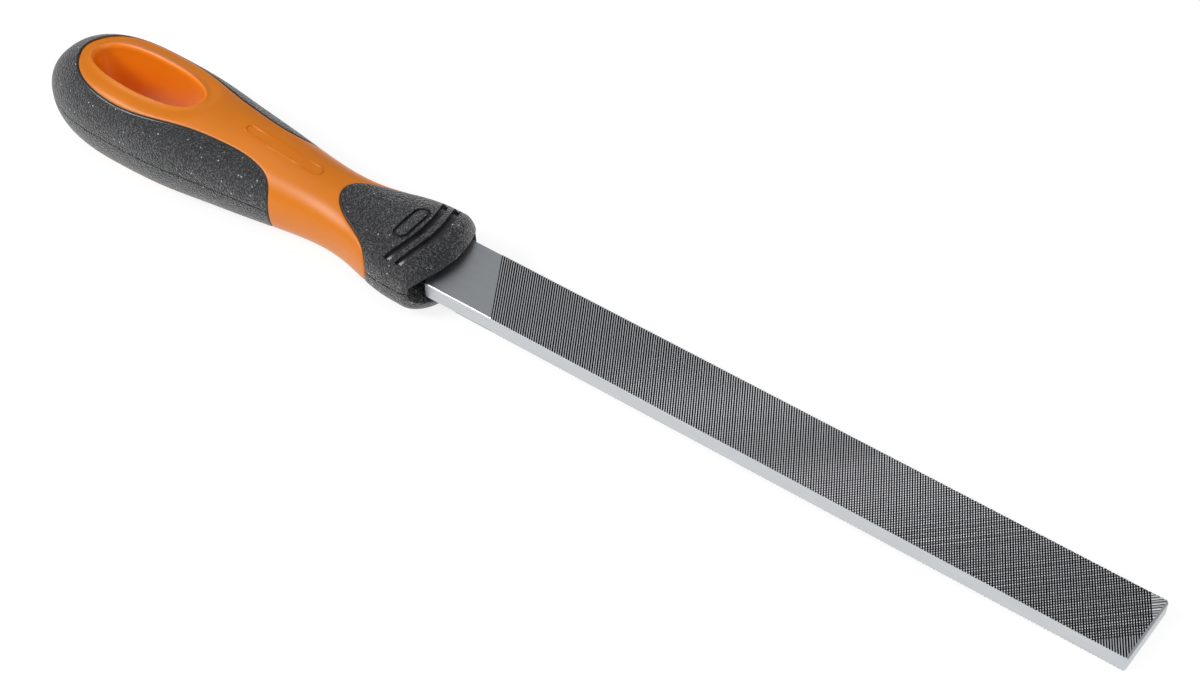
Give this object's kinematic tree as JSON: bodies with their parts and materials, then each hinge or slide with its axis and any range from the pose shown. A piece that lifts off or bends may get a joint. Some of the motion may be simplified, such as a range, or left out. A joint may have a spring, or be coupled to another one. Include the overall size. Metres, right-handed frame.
{
  "type": "flat file",
  "caption": "Parallel flat file with double-cut faces for shaping metal by hand, on a soft-grip handle with a hanging hole.",
  "frame": {"origin": "middle of the whole file, on its axis", "axes": "+X along the file towards its tip, +Z square to the flat of the blade, +Y across the blade"},
  "size_m": [0.3384, 0.0336, 0.0286],
  "materials": {
    "blade_steel": "hardened file steel, ground smooth on the edges and heel, tooth-cut on the faces",
    "core_plastic": "semi-gloss moulded polypropylene, orange",
    "grip_rubber": "soft thermoplastic rubber with a fine moulded grain, black-grey"
  },
  "bodies": {
    "root": {"file_blade": "blade_steel", "handle_core": "core_plastic", "rear_grip": "grip_rubber", "front_collar": "grip_rubber"}
  },
  "joints": []
}
